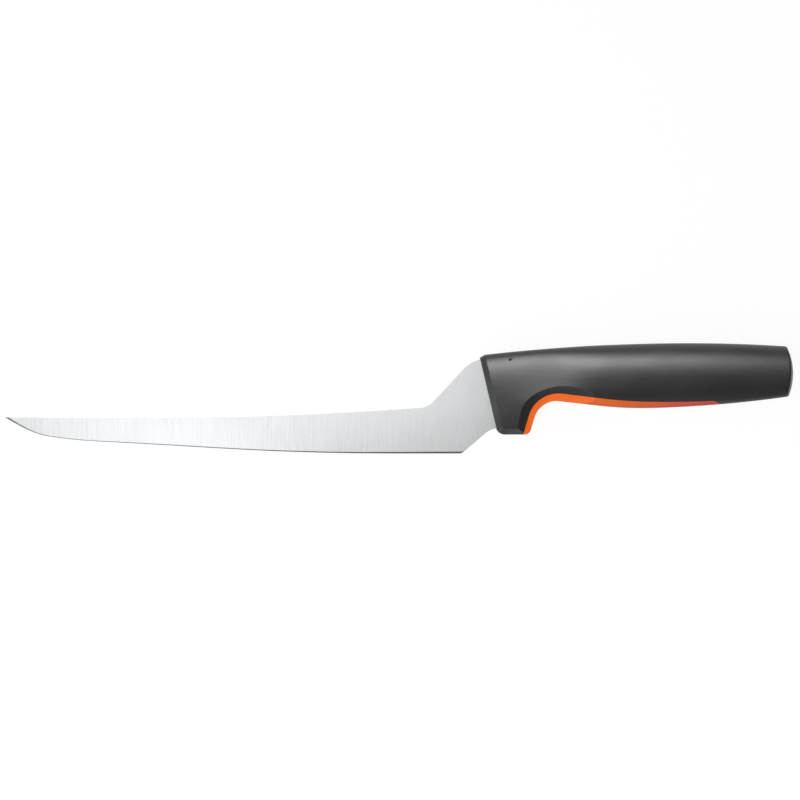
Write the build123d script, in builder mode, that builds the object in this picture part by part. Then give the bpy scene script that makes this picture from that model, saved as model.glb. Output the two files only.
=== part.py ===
from build123d import *
import os
from math import atan2, cos, degrees, radians, sin, tan

os.makedirs("parts", exist_ok=True)

# A fillet knife lying flat on its side. X runs from the tip to the butt, Y from the cutting edge up to the
# spine, and Z through the thickness. The origin is the middle of the footprint, on the surface below.

# Sizes of the whole knife, in millimetres
blade_length = 201.7
handle_length = 133.3
grip_height = 27.6
grip_width = 20.0
guard_height = 38.8
heel_drop = 8.1

# Sizes of the blade: thin at the tip and at the edge, full stock at the top of the neck
heel_height = 19.6
heel_setback = 7.4
heel_radius = 3.4
tip_thickness = 0.5
edge_thickness = 0.4
neck_thickness = 2.2
finish_grind = 0.05
edge_angle = 15
neck_inset = 1.8
neck_lip = 2.9
neck_root_angle = 47.2
neck_root_radius = 8.5
neck_crown_angle = 21.8
neck_crown_length = 5.1
neck_crown_radius = 12.7
neck_foot_angle = 40.6
neck_foot_radius = 8.5

# Sizes of the hidden tang, and of the core moulded round it
tang_inset = 8.4
tang_height = 8.0
tang_length = 94.0
tang_corner_radius = 2.0
tang_hole_diameter = 5.0
tang_hole_count = 3
core_start = 11.0
core_wall = 2.4
core_width = 9.0
core_corner_radius = 2.0

# Sizes of the handle: its slanted front, the guard, the arch behind it and the domed butt
front_angle = 13.1
front_bevel_width = 2.4
front_bevel_depth = 1.0
guard_length = 13.3
guard_toe_radius = 3.6
guard_tip_radius = 2.6
guard_back_angle = 16.7
arch_radius = 9.7
underside_radius = 2.5
butt_radius = 25.5
butt_rim_radius = 1.0

# Sizes of the grip strip let into the underside, and of the cove that undercuts the crease above it
strip_depth = 3.3
strip_length = 98.9
strip_end_angle = 20
cove_inset = 1.1
cove_width = 14.0
cove_depth = 5.2
cove_tilt = 8
cove_offset = 0.9
cove_rise = -0.7
cove_lean = 1.6
cove_fade_radius = 90.0
cove_fade_length = 26.0

overrun = 5.0

# Shares of the blade's length, back from the front of the handle, and of the heel's height above the edge
tip_share = (1.0, 0.786)
spine_low_share = (0.7145, 0.762)
edge_flat_share = (0.188, 0)
edge_shares = [(0.557, 0.118), (0.809, 0.265), (0.904, 0.363), (0.9505, 0.508), tip_share]

# Shares of the neck's lip and inset where the neck turns into the tang, and of the guard's length
neck_foot_share = 0.8
crown_end_share = 0.6
tang_slope_shares = (0.8, 0.3)
toe_share = 0.35

# Shares of the handle's length, and of the grip's height down from the back
front_top_share = 0.183
arch_corner_share = 0.861
belly_shares = [(0.385, 0.966), (0.5445, 1.0), (1.0545, 0.770)]
strip_corner_shares = (0.48, 1.09)
strip_shares = [(0.385, 0.852), (0.5445, 0.904)]
strip_end_share = 0.8905
cove_level_share = 1.027
butt_level_share = 0.468

# A row for each section of the grip: its place along the handle, its back, its widest level and its
# underside down from the back, how much of the guard it takes in, its half width, and how much narrower
# its upper side leans in above the widest level
section_shares = [
    (-0.030, 0.197, 1.040, 1.70, 1.00, 0.810, 0.14),
    (0.066, 0.153, 0.950, 1.62, 1.00, 0.850, 0.16),
    (0.162, 0.108, 0.840, 1.46, 0.85, 0.905, 0.27),
    (0.250, 0.074, 0.780, 1.34, 0.40, 0.965, 0.25),
    (0.330, 0.047, 0.700, 1.22, 0.10, 0.975, 0.10),
    (0.417, 0.027, 0.680, 1.18, 0.00, 0.985, 0.00),
    (0.545, 0.007, 0.660, 1.16, 0.00, 1.000, 0.00),
    (0.672, 0.000, 0.640, 1.13, 0.00, 1.000, 0.00),
    (0.831, 0.013, 0.620, 1.08, 0.00, 0.980, 0.00),
    (0.943, 0.038, 0.605, 1.01, 0.00, 0.940, 0.00),
    (1.039, 0.069, 0.590, 0.95, 0.00, 0.900, 0.00),
]
oval_share = 0.5523
lower_shares = (0.35, 0.72)

# Levels and stations that follow from the sizes
overall_length = blade_length + handle_length
overall_height = guard_height + heel_drop
tip_x = -overall_length / 2
butt_x = overall_length / 2
front_x = tip_x + blade_length
edge_y = -overall_height / 2
top_y = overall_height / 2
guard_y = top_y - guard_height
front_y = top_y - grip_height * front_top_share
mid_z = grip_width / 2
middle = Plane.XY.offset(mid_z)


def on_blade(shares):
    return Vector(front_x - blade_length * shares[0], edge_y + heel_height * shares[1])


def on_grip(shares):
    return Vector(front_x + handle_length * shares[0], top_y - grip_height * shares[1])


def front_at(y):
    return front_x + (front_y - y) * tan(radians(front_angle))


def draw_cutting_edge():
    run = Line(heel, on_blade(edge_flat_share))
    for shares in edge_shares:
        run = TangentArc(run @ 1, on_blade(shares), tangent=run % 1)
    return run


# Corners of the blank, from the tip round to the heel
tip = on_blade(tip_share)
spine_low = on_blade(spine_low_share)
neck_top = Vector(front_at(front_y - neck_inset), front_y - neck_inset)
crown = neck_top - Vector(neck_crown_length, neck_crown_length * tan(radians(neck_crown_angle)))
root_y = edge_y + heel_height
neck_root = Vector(crown.X - (crown.Y - root_y) / tan(radians(neck_root_angle)), root_y)
heel = Vector(front_x - heel_setback, edge_y)
foot_y = guard_y + neck_lip * neck_foot_share
foot = Vector(heel.X + (foot_y - edge_y) / tan(radians(neck_foot_angle)), foot_y)
toe_x = front_at(guard_y)
tang_top_y = top_y - tang_inset
tang_low_y = tang_top_y - tang_height
tang_end_x = front_x + tang_length
tang_corners = [
    Vector(tang_end_x, tang_top_y),
    Vector(tang_end_x, tang_low_y),
    Vector(toe_x + guard_length * tang_slope_shares[0], tang_low_y),
    Vector(toe_x + guard_length * tang_slope_shares[1], guard_y + neck_lip),
]

# The blade, its neck and its tang are one blank of sheet steel
with BuildSketch(middle) as blank:
    with BuildLine():
        TangentArc(spine_low, tip, tangent=(-1, 0))
        TangentArc(spine_low, neck_root, tangent=(1, 0))
        Polyline(
            neck_root,
            crown,
            neck_top + Vector(neck_inset, neck_inset * tan(radians(neck_crown_angle))) * crown_end_share,
            Vector(front_x + core_start, tang_top_y),
            *tang_corners,
            foot,
            heel,
        )
        draw_cutting_edge()
    make_face()
    for corner in tang_corners:
        fillet(blank.vertices().sort_by_distance(corner)[0], radius=tang_corner_radius)
    fillet(blank.vertices().sort_by_distance(neck_root)[0], radius=neck_root_radius)
    fillet(blank.vertices().sort_by_distance(crown)[0], radius=neck_crown_radius)
    fillet(blank.vertices().sort_by_distance(foot)[0], radius=neck_foot_radius)
    fillet(blank.vertices().sort_by_distance(heel)[0], radius=heel_radius)

# Each side of the blade is one flat grind, through the tip, the heel and the top of the neck
at_tip = Vector(tip.X, tip.Y, mid_z + tip_thickness / 2)
at_heel = Vector(heel.X, heel.Y, mid_z + edge_thickness / 2)
at_neck = Vector(neck_top.X, neck_top.Y, mid_z + neck_thickness / 2)
grind = Plane(origin=at_heel, z_dir=(at_heel - at_tip).cross(at_neck - at_tip))
tang_side = grind.offset(finish_grind)

# What the finish grind takes off in front of the handle, so that the tang stays a hair thicker
with BuildPart() as finish:
    with BuildSketch(middle):
        with BuildLine():
            Polyline(
                (tip_x - overrun, edge_y - overrun),
                (front_at(edge_y - overrun), edge_y - overrun),
                (front_at(top_y + overrun), top_y + overrun),
                (tip_x - overrun, top_y + overrun),
                close=True,
            )
        make_face()
    extrude(amount=grip_width)
    split(bisect_by=grind, keep=Keep.TOP)
    mirror(about=middle)

# The wedge swept along the cutting edge leaves a small bevel on each side
bevel_height = edge_thickness / tan(radians(edge_angle))
with BuildPart() as bevel:
    with BuildLine():
        Line(heel + Vector(overrun, 0), heel)
        last = draw_cutting_edge()
        Line(tip, tip + (last % 1) * overrun)
    with BuildSketch(Plane(origin=heel + Vector(overrun, 0), x_dir=(0, 1, 0), z_dir=(-1, 0, 0))):
        with BuildLine():
            Polyline(
                (bevel_height, edge_thickness),
                (0, 0),
                (bevel_height, -edge_thickness),
                (-overrun, -edge_thickness),
                (-overrun, edge_thickness),
                close=True,
            )
        make_face()
    sweep()

with BuildPart() as blade:
    with BuildSketch(middle):
        add(blank.sketch)
    extrude(amount=neck_thickness, both=True)
    split(bisect_by=tang_side, keep=Keep.BOTTOM)
    mirror(about=middle, mode=Mode.INTERSECT)
    add(finish.part, mode=Mode.SUBTRACT)
    with Locations((0, 0, mid_z)):
        add(bevel.part, mode=Mode.SUBTRACT)
    with Locations((front_x + (tang_length + core_start) / 2, tang_top_y - tang_height / 2, mid_z)):
        with GridLocations((tang_length - core_start) / tang_hole_count, 0, tang_hole_count, 1):
            Hole(radius=tang_hole_diameter / 2)

# The hard core is moulded round the tang first and grips it through the holes
core_length = tang_length - core_start + core_wall
with BuildPart() as tang_core:
    with BuildSketch(middle):
        with Locations((front_x + core_start + core_length / 2, tang_top_y - tang_height / 2)):
            RectangleRounded(core_length, tang_height + core_wall * 2, core_corner_radius)
    extrude(amount=core_width / 2, both=True)
    fillet(tang_core.faces().sort_by(Axis.Z)[0].edges(), radius=core_corner_radius)
    fillet(tang_core.faces().sort_by(Axis.Z)[-1].edges(), radius=core_corner_radius)
    add(blade.part, mode=Mode.SUBTRACT)

# The side view of the handle below its back: front, toe, guard, arch and belly
arch_corner_y = top_y - grip_height * arch_corner_share
guard_tip = Vector(toe_x + guard_length, guard_y)
arch_rise = arch_corner_y - guard_y
arch_corner = guard_tip + Vector(arch_rise * tan(radians(guard_back_angle)), arch_rise)
reach_y = top_y + overrun
with BuildSketch() as side_view:
    with BuildLine():
        near_side = Polyline(
            (front_at(reach_y), reach_y),
            (toe_x, guard_y),
            guard_tip,
            arch_corner,
            on_grip(belly_shares[0]),
        )
        belly = TangentArc(near_side @ 1, on_grip(belly_shares[1]), tangent=near_side % 1)
        belly_end = TangentArc(belly @ 1, on_grip(belly_shares[2]), tangent=belly % 1)
        Polyline(belly_end @ 1, ((belly_end @ 1).X, reach_y), (front_at(reach_y), reach_y))
    make_face()
    fillet(side_view.vertices().sort_by_distance(arch_corner)[0], radius=arch_radius)
    fillet(side_view.vertices().sort_by_distance(guard_tip)[0], radius=guard_tip_radius)
    fillet(side_view.vertices().sort_by_distance((toe_x, guard_y))[0], radius=guard_toe_radius)
arch_edge = side_view.edges().filter_by(GeomType.CIRCLE).sort_by_distance(arch_corner)[0]
arch_centre = arch_edge.arc_center


# One side of a section curves out from the back to the widest level, and in again to the underside
def draw_side(back_y, wide_y, low_y, half, lean):
    rise = (back_y - wide_y) * oval_share
    fall = (wide_y - low_y) * lower_shares[0]
    Bezier(
        (back_y, mid_z),
        (back_y, mid_z + half * oval_share),
        (wide_y + rise, mid_z + half * (1 - lean)),
        (wide_y, mid_z + half),
    )
    Bezier(
        (wide_y, mid_z + half),
        (wide_y - fall, mid_z + half * (1 + lean * fall / rise)),
        (low_y, mid_z + half * lower_shares[1]),
        (low_y, mid_z),
    )


# The grip is lofted through oval sections and then trimmed to the side view
with BuildPart() as grip:
    for along, back, widest, underside, guard_share, half_share, lean in section_shares:
        back_y = top_y - grip_height * back
        wide_y = top_y - grip_height * widest
        low_y = top_y - grip_height * underside - (guard_height - grip_height) * guard_share
        with BuildSketch(Plane.YZ.offset(front_x + handle_length * along)):
            with BuildLine():
                draw_side(back_y, wide_y, low_y, mid_z * half_share, lean)
                draw_side(back_y, wide_y, low_y, -mid_z * half_share, lean)
            make_face()
    loft()
    with BuildSketch(middle):
        add(side_view.sketch)
    extrude(amount=grip_width, both=True, mode=Mode.INTERSECT)

# The strip follows the guard's back, the arch and the belly at its own depth, and runs out to the rear
strip_corner = arch_corner + Vector(-strip_corner_shares[0], strip_corner_shares[1]) * strip_depth
strip_end = Vector(front_x + strip_length, top_y - grip_height * strip_end_share)
under_y = guard_y - overrun
with BuildSketch() as strip_view:
    with BuildLine():
        inside = Polyline(
            strip_corner - Vector(tan(radians(guard_back_angle)), 1) * (strip_corner.Y - under_y),
            strip_corner,
            on_grip(strip_shares[0]),
        )
        inside_belly = TangentArc(inside @ 1, on_grip(strip_shares[1]), tangent=inside % 1)
        inside_end = TangentArc(inside_belly @ 1, strip_end, tangent=inside_belly % 1)
        Polyline(
            strip_end,
            strip_end + Vector(1 / tan(radians(strip_end_angle)), -1) * (strip_end.Y - under_y),
            inside @ 0,
        )
    make_face()
    fillet(strip_view.vertices().sort_by_distance(strip_corner)[0], radius=arch_radius + strip_depth)

with BuildPart() as strip_space:
    with BuildSketch(middle):
        add(strip_view.sketch)
    extrude(amount=grip_width, both=True)

# The cove runs beside the strip, parallel to the guard's back and round the arch, then rises out of the side
cove_plane = Plane(
    origin=Vector(arch_centre.X + cove_offset, arch_centre.Y, mid_z + mid_z * cove_level_share),
    x_dir=(1, 0, tan(radians(cove_lean))),
    z_dir=(-tan(radians(cove_lean)), -tan(radians(cove_rise)), 1),
)
cove_arm = arch_radius + cove_inset
belly_line = on_grip(belly_shares[0]) - arch_corner
bend_angle = 90 - guard_back_angle + degrees(atan2(-belly_line.Y, belly_line.X))
fade_angle = degrees(cove_fade_length / cove_fade_radius)
cove_start = (-cove_arm * cos(radians(guard_back_angle)), cove_arm * sin(radians(guard_back_angle)))
cove_fall = arch_radius + overrun
cove_foot = (
    cove_start[0] - cove_fall * sin(radians(guard_back_angle)),
    cove_start[1] - cove_fall * cos(radians(guard_back_angle)),
)
with BuildPart() as cove:
    with BuildLine(cove_plane):
        fall = Line(cove_foot, cove_start)
        bend = CenterArc((0, 0), cove_arm, 180 - guard_back_angle, arc_size=-bend_angle)
    with BuildLine(Plane(origin=bend @ 1, x_dir=bend % 1, z_dir=(bend % 1).cross(cove_plane.z_dir))):
        CenterArc((0, cove_fade_radius), cove_fade_radius, -90, arc_size=fade_angle)
    with BuildSketch(Plane(origin=fall @ 0, x_dir=cove_plane.z_dir, z_dir=fall % 0)):
        Ellipse(cove_width / 2, cove_depth / 2, rotation=90 + cove_tilt)
    sweep()
    mirror(about=middle)

# The butt is part of a ball
butt_y = top_y - grip_height * butt_level_share
ball_x = butt_x - butt_radius
with BuildPart() as butt_waste:
    with BuildSketch(middle):
        with BuildLine():
            dome = CenterArc((ball_x, butt_y), butt_radius, 0, arc_size=90)
            Polyline(
                dome @ 1,
                (ball_x, butt_y + butt_radius + overrun),
                (butt_x + butt_radius, butt_y + butt_radius + overrun),
                (butt_x + butt_radius, butt_y),
                dome @ 0,
            )
        make_face()
    revolve(axis=Axis((ball_x, butt_y, mid_z), (1, 0, 0)))


def off_side_view(edge):
    return side_view.wire().distance_to(Vertex((edge @ 0.5).X, (edge @ 0.5).Y, 0))


def trimmed_edges(body):
    curved = body.edges().filter_by(GeomType.LINE, reverse=True)
    return curved.group_by(off_side_view, tol_digits=2)[0]


# Behind the guard's toe the trimmed edges are rounded all along
with BuildPart() as rounded_grip:
    add(grip.part)
    split(bisect_by=Plane.YZ.offset(toe_x + guard_length * toe_share), keep=Keep.TOP)
    fillet(trimmed_edges(rounded_grip), radius=underside_radius)

with BuildPart() as finger_grip:
    add(rounded_grip.part)
    add(cove.part, mode=Mode.SUBTRACT)
    add(strip_space.part, mode=Mode.INTERSECT)

# The shell is rounded like the strip behind the arch, and its front and guard are bevelled
above_arch = Plane.YZ.offset(arch_centre.X)
with BuildPart() as shell_front:
    add(grip.part)
    add(strip_space.part, mode=Mode.SUBTRACT)
    front_edge = shell_front.edges().sort_by_distance((front_x, front_y, mid_z))[0]
    front_face = shell_front.faces().filter_by(GeomType.PLANE).sort_by(Axis.X)[0]
    chamfer(front_edge, length=front_bevel_depth, length2=front_bevel_width, reference=front_face)
    split(bisect_by=above_arch, keep=Keep.BOTTOM)

with BuildPart() as handle_shell:
    add(rounded_grip.part)
    add(strip_space.part, mode=Mode.SUBTRACT)
    split(bisect_by=above_arch, keep=Keep.TOP)
    add(shell_front.part)
    add(butt_waste.part, mode=Mode.SUBTRACT)
    butt = handle_shell.faces().filter_by(GeomType.SPHERE)[0]
    fillet(butt.edges().filter_by(GeomType.CIRCLE, reverse=True), radius=butt_rim_radius)
    add(cove.part, mode=Mode.SUBTRACT)
    add(tang_core.part, mode=Mode.SUBTRACT)
    add(blade.part, mode=Mode.SUBTRACT)

blade.part.label = "blade"
tang_core.part.label = "tang_core"
handle_shell.part.label = "handle_shell"
finger_grip.part.label = "finger_grip"
export_step(blade.part, "parts/blade.step")
export_step(tang_core.part, "parts/tang_core.step")
export_step(handle_shell.part, "parts/handle_shell.step")
export_step(finger_grip.part, "parts/finger_grip.step")
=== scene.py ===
"""A fillet knife lying flat on a pale studio table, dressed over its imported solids.

The frame gives every solid in metres: X runs from the tip to the butt, Y from the cutting edge up to the spine,
and Z up through the thickness. Nothing else is read.
"""

import logging
import math
from dataclasses import dataclass, field
from enum import Enum

import bpy
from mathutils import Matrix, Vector


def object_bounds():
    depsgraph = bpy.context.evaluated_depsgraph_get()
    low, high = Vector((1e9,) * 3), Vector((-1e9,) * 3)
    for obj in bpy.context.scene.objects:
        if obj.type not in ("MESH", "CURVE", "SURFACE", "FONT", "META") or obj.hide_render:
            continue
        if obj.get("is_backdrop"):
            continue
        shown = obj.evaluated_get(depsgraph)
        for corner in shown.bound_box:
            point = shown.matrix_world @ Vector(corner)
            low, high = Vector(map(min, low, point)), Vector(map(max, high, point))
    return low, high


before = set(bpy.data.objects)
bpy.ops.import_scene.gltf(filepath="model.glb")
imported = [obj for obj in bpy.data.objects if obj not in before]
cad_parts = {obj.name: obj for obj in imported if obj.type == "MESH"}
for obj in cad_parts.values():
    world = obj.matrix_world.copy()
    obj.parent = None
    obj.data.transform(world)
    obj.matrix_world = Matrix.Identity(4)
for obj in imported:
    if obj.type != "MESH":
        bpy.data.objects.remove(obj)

log = logging.getLogger("fillet_knife")

MM = 0.001
Colour = tuple[float, float, float]
Scales = tuple[float, float, float]
Band = tuple[float, float]


class Node(Enum):
    """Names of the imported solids."""

    BLADE = "blade"
    CORE = "tang_core"
    SHELL = "handle_shell"
    GRIP = "finger_grip"


# The materials


@dataclass
class NodeSheet:
    """A node tree that is being filled in."""

    tree: bpy.types.NodeTree

    def add(self, kind: str, **settings: object) -> bpy.types.Node:
        """Adds one node.

        Args:
            kind: The node's type, such as "ShaderNodeMath".
            settings: Attributes of the node that are set at once.

        Returns:
            The new node.
        """
        node = self.tree.nodes.new(kind)
        for name, value in settings.items():
            setattr(node, name, value)
        return node

    def feed(self, socket: bpy.types.NodeSocket, value: object) -> None:
        """Links an output to a socket, or writes a plain value on it.

        Args:
            socket: The input that is fed.
            value: Another node's output socket, or a number, colour or vector.
        """
        if isinstance(value, bpy.types.NodeSocket):
            self.tree.links.new(value, socket)
        else:
            socket.default_value = value

    def math(self, operation: str, *values: object) -> bpy.types.NodeSocket:
        """Adds a Math node.

        Args:
            operation: The node's operation, such as "MULTIPLY".
            values: Its inputs in order, sockets or numbers.

        Returns:
            The node's output.
        """
        node = self.add("ShaderNodeMath", operation=operation)
        for socket, value in zip(node.inputs, values):
            self.feed(socket, value)
        return node.outputs[0]

    def ramp(self, value: bpy.types.NodeSocket, band: Band, into: Band = (0.0, 1.0)) -> bpy.types.NodeSocket:
        """Adds a smooth Map Range node.

        Args:
            value: The input.
            band: Where the ramp starts and where it ends.
            into: The results at the two ends.

        Returns:
            The mapped value.
        """
        node = self.add("ShaderNodeMapRange", interpolation_type="SMOOTHSTEP")
        entries = {"Value": value, "From Min": band[0], "From Max": band[1], "To Min": into[0], "To Max": into[1]}
        for name, entry in entries.items():
            self.feed(node.inputs[name], entry)
        return node.outputs["Result"]

    def blend(self, factor: object, first: object, second: object) -> bpy.types.NodeSocket:
        """Mixes two colours.

        Args:
            factor: The share of the second colour.
            first: The first colour, as a socket or four numbers.
            second: The second colour, likewise.

        Returns:
            The mixed colour.
        """
        node = self.add("ShaderNodeMix", data_type="RGBA")
        self.feed(node.inputs["Factor"], factor)
        self.feed(node.inputs["A"], first)
        self.feed(node.inputs["B"], second)
        return node.outputs["Result"]

    def noise(
        self, place: bpy.types.NodeSocket, scale: float, detail: float, stretch: Scales = (1.0, 1.0, 1.0)
    ) -> bpy.types.NodeSocket:
        """Adds a Noise texture on a stretched copy of the coordinates.

        Args:
            place: The coordinates, in metres.
            scale: How many swirls fit into one metre.
            detail: How many finer octaves are laid over it.
            stretch: The factor on each axis before the noise is read.

        Returns:
            The noise value, about 0.5 on average.
        """
        mapping = self.add("ShaderNodeMapping", vector_type="POINT")
        self.feed(mapping.inputs["Vector"], place)
        mapping.inputs["Scale"].default_value = stretch
        node = self.add("ShaderNodeTexNoise", noise_dimensions="3D", normalize=True)
        self.feed(node.inputs["Vector"], mapping.outputs["Vector"])
        node.inputs["Scale"].default_value = scale
        node.inputs["Detail"].default_value = detail
        return node.outputs["Fac"]


@dataclass
class SharedGroup:
    """A shader node group with named inputs and outputs, built once and used by several materials."""

    name: str
    inputs: dict[str, float]
    outputs: tuple[str, ...]
    tree: bpy.types.NodeTree = field(init=False)

    def __post_init__(self) -> None:
        """Makes the tree and its sockets, and lets the subclass fill it in."""
        self.tree = bpy.data.node_groups.new(self.name, "ShaderNodeTree")
        for name, value in self.inputs.items():
            socket = self.tree.interface.new_socket(name=name, in_out="INPUT", socket_type="NodeSocketFloat")
            socket.default_value = value
        for name in self.outputs:
            self.tree.interface.new_socket(name=name, in_out="OUTPUT", socket_type="NodeSocketFloat")
        sheet = NodeSheet(self.tree)
        given = sheet.add("NodeGroupInput")
        result = sheet.add("NodeGroupOutput")
        place = sheet.add("ShaderNodeTexCoord").outputs["Object"]
        for name, value in self.draw(sheet, place, given.outputs).items():
            sheet.feed(result.inputs[name], value)

    def draw(self, sheet: NodeSheet, place: bpy.types.NodeSocket, given: object) -> dict[str, bpy.types.NodeSocket]:
        """Draws the effect.

        Args:
            sheet: The group's tree.
            place: Object coordinates.
            given: The group's input sockets, by name.

        Returns:
            An output socket for each named output.
        """
        raise NotImplementedError

    def use(self, sheet: NodeSheet, **values: float) -> bpy.types.NodeOutputs:
        """Places the group in a material.

        Args:
            sheet: The material's tree.
            values: Inputs that differ from the group's own, with spaces written as underscores.

        Returns:
            The placed group's outputs.
        """
        node = sheet.add("ShaderNodeGroup")
        node.node_tree = self.tree
        for name, value in values.items():
            sheet.feed(node.inputs[name.replace("_", " ")], value)
        return node.outputs


@dataclass
class MouldedGrain(SharedGroup):
    """The fine spark-eroded grain of a moulded surface, with a slow unevenness under it."""

    grains_per_metre: float = 5200.0
    swells_per_metre: float = 55.0

    def draw(self, sheet: NodeSheet, place: bpy.types.NodeSocket, given: object) -> dict[str, bpy.types.NodeSocket]:
        """Fine noise gives the grain, and slow noise the swell that sinks in the moulding leave.

        Args:
            sheet: The group's tree.
            place: Object coordinates.
            given: The group's input sockets.

        Returns:
            The grain's height from 0 to 1, and the slow swell from 0 to 1.
        """
        fine = sheet.noise(place, self.grains_per_metre, 2.0)
        swell = sheet.noise(place, self.swells_per_metre, 1.0)
        height = sheet.math("MULTIPLY", fine, given["Grain"])
        return {"Height": height, "Swell": swell}


@dataclass
class HandlingWear(SharedGroup):
    """Faint smudges and rubbed patches that handling leaves."""

    patches_per_metre: float = 38.0
    patch_band: Band = (0.48, 0.72)
    wipes_per_metre: float = 260.0
    wipe_stretch: Scales = (0.12, 1.0, 1.0)
    wipe_band: Band = (0.55, 0.75)

    def draw(self, sheet: NodeSheet, place: bpy.types.NodeSocket, given: object) -> dict[str, bpy.types.NodeSocket]:
        """Slow noise cut by a soft threshold gives patches, and stretched noise gives fine wipes along the knife.

        Args:
            sheet: The group's tree.
            place: Object coordinates.
            given: The group's input sockets.

        Returns:
            The patches as a mask, and the wipes as a mask.
        """
        patches = sheet.ramp(sheet.noise(place, self.patches_per_metre, 3.0), self.patch_band)
        wipes = sheet.ramp(sheet.noise(place, self.wipes_per_metre, 2.0, self.wipe_stretch), self.wipe_band)
        return {
            "Patches": sheet.math("MULTIPLY", patches, given["Amount"]),
            "Wipes": sheet.math("MULTIPLY", wipes, given["Amount"]),
        }


@dataclass(frozen=True)
class Finish:
    """What every finish has: its slot in the record and its plain values on the shader."""

    name: str
    slot: str
    colour: Colour
    roughness: float
    specular: float = 0.5
    metallic: float = 0.0

    def start(self) -> tuple[bpy.types.Material, NodeSheet, bpy.types.Node]:
        """Makes the material with its shader's plain values set.

        Returns:
            The material, its node sheet and its Principled shader.
        """
        material = bpy.data.materials.new(self.name)
        material.use_nodes = True
        material.diffuse_color = (*self.colour, 1.0)
        shader = material.node_tree.nodes["Principled BSDF"]
        shader.inputs["Base Color"].default_value = (*self.colour, 1.0)
        shader.inputs["Metallic"].default_value = self.metallic
        shader.inputs["Roughness"].default_value = self.roughness
        shader.inputs["Specular IOR Level"].default_value = self.specular
        return material, NodeSheet(material.node_tree), shader

    def material(self, groups: "Groups") -> bpy.types.Material:
        """Builds the finished material.

        Args:
            groups: The shared node groups.

        Returns:
            The material.
        """
        raise NotImplementedError


@dataclass(frozen=True)
class BrushedSteel(Finish):
    """Stainless steel with a fine satin grind across the blade, perpendicular to its edge."""

    streak_pitch: float = 0.6 * MM
    streak_stretch: Scales = (1.0, 0.035, 0.3)
    broad_pitch: float = 2.0 * MM
    broad_stretch: Scales = (1.0, 0.06, 0.3)
    broad_share: float = 0.3
    streak_depth: float = 0.0009 * MM
    streak_relief: float = 0.6
    streak_contrast: float = 0.08
    tone_band: Band = (0.32, 0.68)
    sheen_band: Band = (0.3, 0.7)
    sheen_spread: float = 0.03
    wear: float = 0.5
    wear_roughness: float = 0.03
    # Painted shade: the edge bevels' darker steel colour stands in for their turning away from the light.
    edge_shade_colour: Colour = (0.24, 0.243, 0.248)
    edge_roughness: float = 0.1
    edge_lean: Band = (0.12, 0.2)
    edge_flatness: Band = (0.8, 0.9)

    def material(self, groups: "Groups") -> bpy.types.Material:
        """Noise stretched along Y gives streaks that vary colour, roughness and height together, and the edge
        bevels get a painted shade.

        Args:
            groups: The shared node groups.

        Returns:
            The material.
        """
        material, sheet, shader = self.start()
        place = sheet.add("ShaderNodeTexCoord").outputs["Object"]
        fine = sheet.noise(place, 1.0 / self.streak_pitch, 3.0, self.streak_stretch)
        broad = sheet.noise(place, 1.0 / self.broad_pitch, 1.0, self.broad_stretch)
        fine_part = sheet.math("MULTIPLY", fine, 1.0 - self.broad_share)
        streak = sheet.math("MULTIPLY_ADD", broad, self.broad_share, fine_part)
        wear = groups.wear.use(sheet, Amount=self.wear)
        tone = sheet.ramp(streak, self.tone_band)
        dark = tuple((1.0 - self.streak_contrast) * c for c in self.colour)
        light = tuple(min(1.0, (1.0 + self.streak_contrast) * c) for c in self.colour)
        ground = sheet.blend(tone, (*dark, 1.0), (*light, 1.0))
        # Painted shade on the edge bevels, found by the way they face: their base colour is darkened, while their
        # added roughness is a real coarser grind.
        edge = self.edge_mask(sheet)
        sheet.feed(shader.inputs["Base Color"], sheet.blend(edge, ground, (*self.edge_shade_colour, 1.0)))
        sheen = (self.roughness - self.sheen_spread, self.roughness + self.sheen_spread)
        rough = sheet.ramp(streak, self.sheen_band, sheen)
        worn = sheet.math("MULTIPLY_ADD", wear["Patches"], self.wear_roughness, rough)
        sheet.feed(shader.inputs["Roughness"], sheet.math("MULTIPLY_ADD", edge, self.edge_roughness, worn))
        bump = sheet.add("ShaderNodeBump")
        bump.inputs["Strength"].default_value = self.streak_relief
        bump.inputs["Distance"].default_value = self.streak_depth
        sheet.feed(bump.inputs["Height"], streak)
        sheet.feed(shader.inputs["Normal"], bump.outputs["Normal"])
        return material

    def edge_mask(self, sheet: NodeSheet) -> bpy.types.NodeSocket:
        """Finds the narrow bevels ground along the cutting edge, by the way that they lean towards it.

        Args:
            sheet: The steel's node sheet.

        Returns:
            1 on the edge's two bevels and 0 elsewhere.
        """
        facing = sheet.add("ShaderNodeSeparateXYZ")
        sheet.feed(facing.inputs["Vector"], sheet.add("ShaderNodeNewGeometry").outputs["True Normal"])
        lean = sheet.ramp(sheet.math("MULTIPLY", facing.outputs["Y"], -1.0), self.edge_lean)
        flat = sheet.ramp(sheet.math("ABSOLUTE", facing.outputs["Z"]), self.edge_flatness)
        return sheet.math("MULTIPLY", lean, flat)


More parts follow.
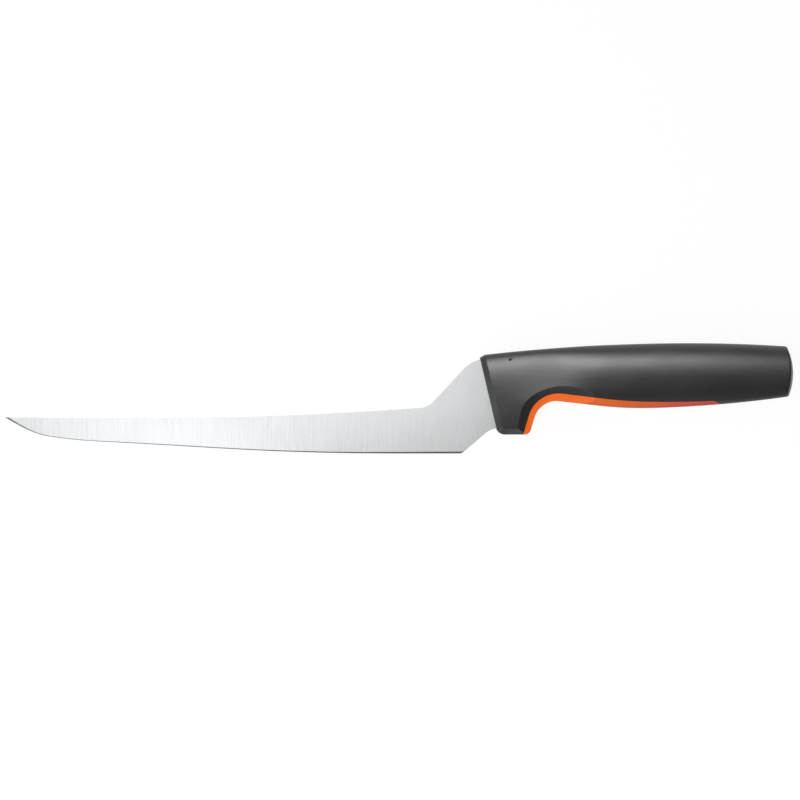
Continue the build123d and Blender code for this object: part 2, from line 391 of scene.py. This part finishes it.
@dataclass(frozen=True)
class MouldedPlastic(Finish):
    """A moulded plastic with fine grain, smudges from handling and a slow unevenness of sheen."""

    grain: float = 1.0
    grain_depth: float = 0.006 * MM
    grain_relief: float = 0.5
    wear: float = 0.5
    wipe_roughness: float = -0.05
    swell_band: Band = (0.3, 0.7)
    sheen_spread: float = 0.02
    shade_spread: float = 0.06
    rear_colour: Colour | None = None
    fade: Band = (0.0, 1.0)

    def material(self, groups: "Groups") -> bpy.types.Material:
        """Grain lifts the surface, and smudges and the slow swell vary its roughness and its colour a little.

        Where the finish has a rear colour, the base colour fades into it along the knife's length, turning darker
        and redder towards the butt.

        Args:
            groups: The shared node groups.

        Returns:
            The material.
        """
        material, sheet, shader = self.start()
        grain = groups.grain.use(sheet, Grain=self.grain)
        wear = groups.wear.use(sheet, Amount=self.wear)
        body_colour = (*self.colour, 1.0)
        # Darker and redder towards the butt, along X.
        if self.rear_colour:
            axes = sheet.add("ShaderNodeSeparateXYZ")
            sheet.feed(axes.inputs["Vector"], sheet.add("ShaderNodeTexCoord").outputs["Object"])
            share = sheet.ramp(axes.outputs["X"], self.fade)
            body_colour = sheet.blend(share, body_colour, (*self.rear_colour, 1.0))
        shade = sheet.ramp(grain["Swell"], self.swell_band, (1.0 - self.shade_spread, 1.0 + self.shade_spread))
        tint = sheet.add("ShaderNodeVectorMath", operation="SCALE")
        sheet.feed(tint.inputs["Vector"], body_colour[:3] if isinstance(body_colour, tuple) else body_colour)
        sheet.feed(tint.inputs["Scale"], shade)
        sheet.feed(shader.inputs["Base Color"], tint.outputs["Vector"])
        sheen = (self.roughness - self.sheen_spread, self.roughness + self.sheen_spread)
        rough = sheet.ramp(grain["Swell"], self.swell_band, sheen)
        wiped = sheet.math("MULTIPLY_ADD", wear["Wipes"], self.wipe_roughness, rough)
        sheet.feed(shader.inputs["Roughness"], wiped)
        bump = sheet.add("ShaderNodeBump")
        bump.inputs["Strength"].default_value = self.grain_relief
        bump.inputs["Distance"].default_value = self.grain_depth
        sheet.feed(bump.inputs["Height"], grain["Height"])
        sheet.feed(shader.inputs["Normal"], bump.outputs["Normal"])
        return material


@dataclass
class Groups:
    """The node groups that the finishes share."""

    grain: MouldedGrain = field(
        default_factory=lambda: MouldedGrain("moulded grain", {"Grain": 1.0}, ("Height", "Swell"))
    )
    wear: HandlingWear = field(
        default_factory=lambda: HandlingWear("handling wear", {"Amount": 1.0}, ("Patches", "Wipes"))
    )


STEEL = BrushedSteel("satin stainless steel", "steel", (0.66, 0.668, 0.675), 0.24, metallic=1.0)
SHELL_PLASTIC = MouldedPlastic("black handle plastic", "shell", (0.008, 0.008, 0.009), 0.42, 0.68)
GRIP_RUBBER = MouldedPlastic(
    "orange soft plastic",
    "grip",
    (0.775, 0.122, 0.005),
    0.45,
    rear_colour=(0.66, 0.070, 0.036),
    fade=(100.0 * MM, 120.0 * MM),
)
CORE_PLASTIC = MouldedPlastic("core plastic", "core", (0.03, 0.03, 0.032), 0.5)


# The studio


@dataclass(frozen=True)
class Softbox:
    """A soft area lamp that hangs beside or over the knife and faces its long axis.

    Its place is given by where it stands along the knife and by how far it is swung from straight up, towards the
    spine's side where the swing is positive. The lean swings it towards the tip instead. Its level is the
    brightness that a mirror would show. A lamp that is flagged off the blade lights the handle alone, so that the
    steel doesn't mirror it.
    """

    name: str
    along: float
    swing: float
    length: float
    width: float
    level: float
    lean: float = 0.0
    off_blade: bool = False

    def build(self, axis_height: float, reach: float, handle: bpy.types.Collection) -> bpy.types.Object:
        """Hangs the lamp.

        Args:
            axis_height: The height of the knife's long axis.
            reach: How far the lamp is from that axis.
            handle: The handle's pieces, which alone receive a lamp that is flagged off the blade.

        Returns:
            The lamp.
        """
        lamp = bpy.data.lights.new(self.name, "AREA")
        lamp.shape = "RECTANGLE"
        lamp.size, lamp.size_y = self.length, self.width
        lamp.energy = math.pi * self.length * self.width * self.level
        rig = bpy.data.objects.new(self.name, lamp)
        bpy.context.scene.collection.objects.link(rig)
        turn, lean = math.radians(self.swing), math.radians(self.lean)
        side, rise = math.sin(turn), math.cos(turn) * math.cos(lean)
        rig.location = (self.along - reach * math.sin(lean), reach * side, axis_height + reach * rise)
        rig.rotation_euler = (-turn, -lean, 0.0)
        if self.off_blade:
            rig.light_linking.receiver_collection = handle
        return rig


@dataclass
class Studio:
    """The pale table, the lamps, the sky and the camera over the knife."""

    sensor_width: float = 36.0
    camera_height: float = 1.6
    view_width: float = 340.0 * MM
    view_centre: tuple[float, float] = (0.55 * MM, -0.72 * MM)
    middle: float = 10.0 * MM
    floor_half: float = 3.0
    floor_gap: float = 0.05 * MM
    cloth_white: float = 0.82
    sky_level: float = 0.2
    shadow_share: float = 0.2
    table_glow: float = 1.16
    lamp_reach: float = 0.45
    softboxes: tuple[Softbox, ...] = (
        Softbox("key softbox", 0.0, 45.0, 0.13, 0.118, 20.0, off_blade=True),
        Softbox("rear key softbox", 0.13, 45.0, 0.13, 0.118, 9.7, off_blade=True),
        Softbox("low key softbox", 0.0, 60.0, 0.13, 0.118, 6.1, off_blade=True),
        Softbox("rear top fill", 0.13, 30.0, 0.13, 0.118, 0.8),
        Softbox("spine side fill", -0.195, 52.5, 0.26, 0.236, 2.4, off_blade=True),
        Softbox("tip strip lamp", -0.26, 0.0, 0.13, 0.118, 1.1),
        Softbox("blade strip lamp", -0.065, 0.0, 0.26, 0.118, 1.35),
        Softbox("mid blade lamp", -0.13, -15.0, 0.13, 0.118, 1.8),
        Softbox("tip edge lamp", -0.26, -30.0, 0.13, 0.118, 1.8),
        Softbox("edge side fill", -0.26, -52.5, 0.13, 0.236, 4.7),
        Softbox("belly side fill", 0.13, -52.5, 0.13, 0.236, 1.0),
        Softbox("low belly fill", 0.065, -75.0, 0.26, 0.118, 3.5),
        Softbox("front fill", 0.06, 0.0, 0.236, 0.13, 4.5, lean=67.5),
    )

    def build(self, lowest: float) -> None:
        """Sets up everything round the knife.

        Args:
            lowest: The height of the knife's lowest point.
        """
        self.build_sky()
        self.build_floor(lowest - self.floor_gap)
        handle = bpy.data.collections.new("handle")
        for node in (Node.SHELL, Node.GRIP):
            handle.objects.link(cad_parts[node.value])
        for softbox in self.softboxes:
            softbox.build(self.middle, self.lamp_reach, handle)
        self.build_camera()
        bpy.context.scene.view_settings.view_transform = "Standard"

    @staticmethod
    def seen_directly(sheet: NodeSheet) -> bpy.types.NodeSocket:
        """Finds the rays that show the background: the camera's own, mirrored ones and those through glass.

        Args:
            sheet: The tree that asks.

        Returns:
            1 for such a ray and 0 for light that only scatters.
        """
        path = sheet.add("ShaderNodeLightPath")
        mirrored = sheet.math("MAXIMUM", path.outputs["Is Glossy Ray"], path.outputs["Is Transmission Ray"])
        return sheet.math("MAXIMUM", path.outputs["Is Camera Ray"], mirrored)

    def build_sky(self) -> None:
        """An even white surround at a low level."""
        world = bpy.data.worlds.new("studio surround")
        world.use_nodes = True
        bpy.context.scene.world = world
        surround = world.node_tree.nodes["Background"]
        surround.inputs["Color"].default_value = (1.0, 1.0, 1.0, 1.0)
        surround.inputs["Strength"].default_value = self.sky_level

    def build_floor(self, level: float) -> None:
        """A wide table that looks white and still takes the knife's shadow.

        Args:
            level: The height of its top.
        """
        half = self.floor_half
        corners = [(-half, -half, level), (half, -half, level), (half, half, level), (-half, half, level)]
        mesh = bpy.data.meshes.new("table")
        mesh.from_pydata(corners, [], [(0, 1, 2, 3)])
        floor = bpy.data.objects.new("table", mesh)
        bpy.context.scene.collection.objects.link(floor)
        material = bpy.data.materials.new("white table")
        material.use_nodes = True
        sheet = NodeSheet(material.node_tree)
        sheet.tree.nodes.remove(sheet.tree.nodes["Principled BSDF"])
        cloth = sheet.add("ShaderNodeBsdfDiffuse")
        cloth.inputs["Color"].default_value = (self.cloth_white, self.cloth_white, self.cloth_white, 1.0)
        glow = sheet.add("ShaderNodeEmission")
        glow.inputs["Strength"].default_value = self.table_glow
        share = sheet.math("MULTIPLY", self.seen_directly(sheet), 1.0 - self.shadow_share)
        mix = sheet.add("ShaderNodeMixShader")
        sheet.feed(mix.inputs["Fac"], share)
        sheet.feed(mix.inputs[1], cloth.outputs["BSDF"])
        sheet.feed(mix.inputs[2], glow.outputs["Emission"])
        sheet.feed(sheet.tree.nodes["Material Output"].inputs["Surface"], mix.outputs["Shader"])
        mesh.materials.append(material)
        floor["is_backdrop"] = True

    def build_camera(self) -> None:
        """Looks straight down, far enough away that the view hardly spreads."""
        data = bpy.data.cameras.new("camera")
        data.sensor_width = self.sensor_width
        data.lens = data.sensor_width * self.camera_height / self.view_width
        camera = bpy.data.objects.new("camera", data)
        bpy.context.scene.collection.objects.link(camera)
        camera.location = (*self.view_centre, self.middle + self.camera_height)
        bpy.context.scene.camera = camera


def dress(node: Node, material: bpy.types.Material) -> None:
    """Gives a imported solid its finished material.

    Args:
        node: The solid.
        material: Its material.
    """
    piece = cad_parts[node.value]
    if not piece.material_slots:
        piece.data.materials.append(material)
    for slot in piece.material_slots:
        slot.material = material
    log.info("%s: dressed in %s", node.value, material.name)


def main() -> None:
    """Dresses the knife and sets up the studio."""
    logging.basicConfig(level=logging.INFO, format="%(name)s: %(message)s")
    cad_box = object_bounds()
    groups = Groups()
    dress(Node.BLADE, STEEL.material(groups))
    dress(Node.SHELL, SHELL_PLASTIC.material(groups))
    dress(Node.GRIP, GRIP_RUBBER.material(groups))
    dress(Node.CORE, CORE_PLASTIC.material(groups))
    Studio().build(cad_box[0].z)


if __name__ == "__main__":
    main()
